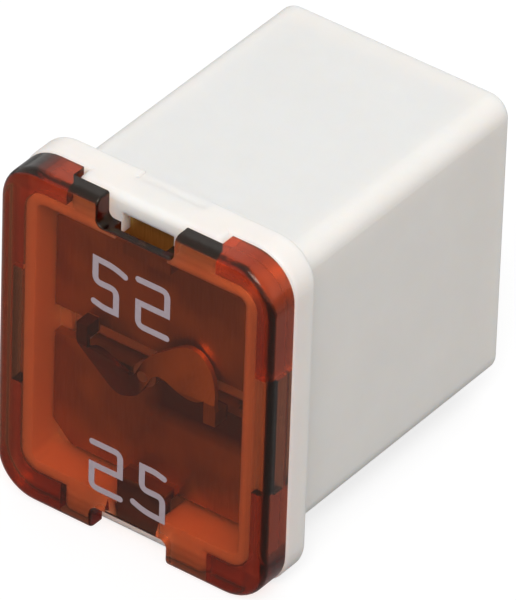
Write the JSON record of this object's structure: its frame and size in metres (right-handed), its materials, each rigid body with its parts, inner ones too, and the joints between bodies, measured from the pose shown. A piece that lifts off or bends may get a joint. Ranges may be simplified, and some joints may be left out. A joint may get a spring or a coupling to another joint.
{
  "type": "fuse",
  "caption": "Low-profile cartridge fuse: white flanged box with spring sockets for blade terminals and a clear amber cover over the fuse strip.",
  "frame": {"origin": "bottom centre of the bounding box, with the part lying on one narrow side", "axes": "+Y from the cover through the body to the terminal end, +Z along the long side of the face, +X along its short side"},
  "size_m": [0.012, 0.0156, 0.0147],
  "materials": {
    "cover": "clear, gloss",
    "housing": "satin",
    "strip": "satin",
    "tin": "dull"
  },
  "bodies": {
    "root": {"cover": "cover", "housing": "housing", "fuse_element": "strip", "tin_pellet": "tin"}
  },
  "joints": []
}
